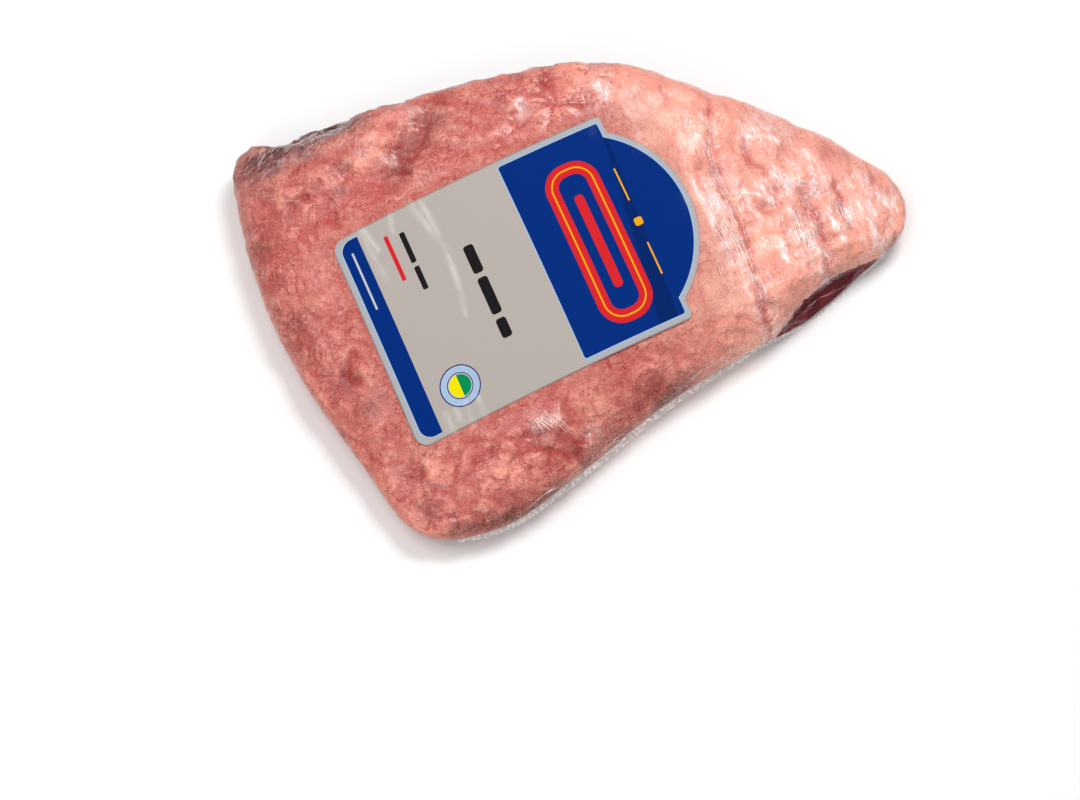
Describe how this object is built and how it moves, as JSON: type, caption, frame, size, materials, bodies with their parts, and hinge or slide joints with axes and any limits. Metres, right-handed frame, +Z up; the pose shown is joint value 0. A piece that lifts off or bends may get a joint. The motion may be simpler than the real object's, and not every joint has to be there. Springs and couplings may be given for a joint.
{
  "type": "raw picanha",
  "caption": "Raw beef rump cap in a skin-tight clear film with a blank label on its fat side, lying flat.",
  "frame": {"origin": "middle of the footprint, on the surface that the meat lies on", "axes": "+Z up through the fat, +X from the wide end to the tip, +Y from the thin near side to the thick far side"},
  "size_m": [0.3186, 0.2407, 0.0468],
  "materials": {
    "fat": "moist pink-white fat with a fine net of red veins, glossy under the film",
    "lean": "dark red raw lean meat with fine grain, glossy under the film",
    "label": "satin printed label, warm grey and blue",
    "film": "clear tight shrink film"
  },
  "bodies": {
    "root": {"fat_cap": "fat", "lean_meat": "lean", "label": "label", "film_hem": "film"}
  },
  "joints": []
}
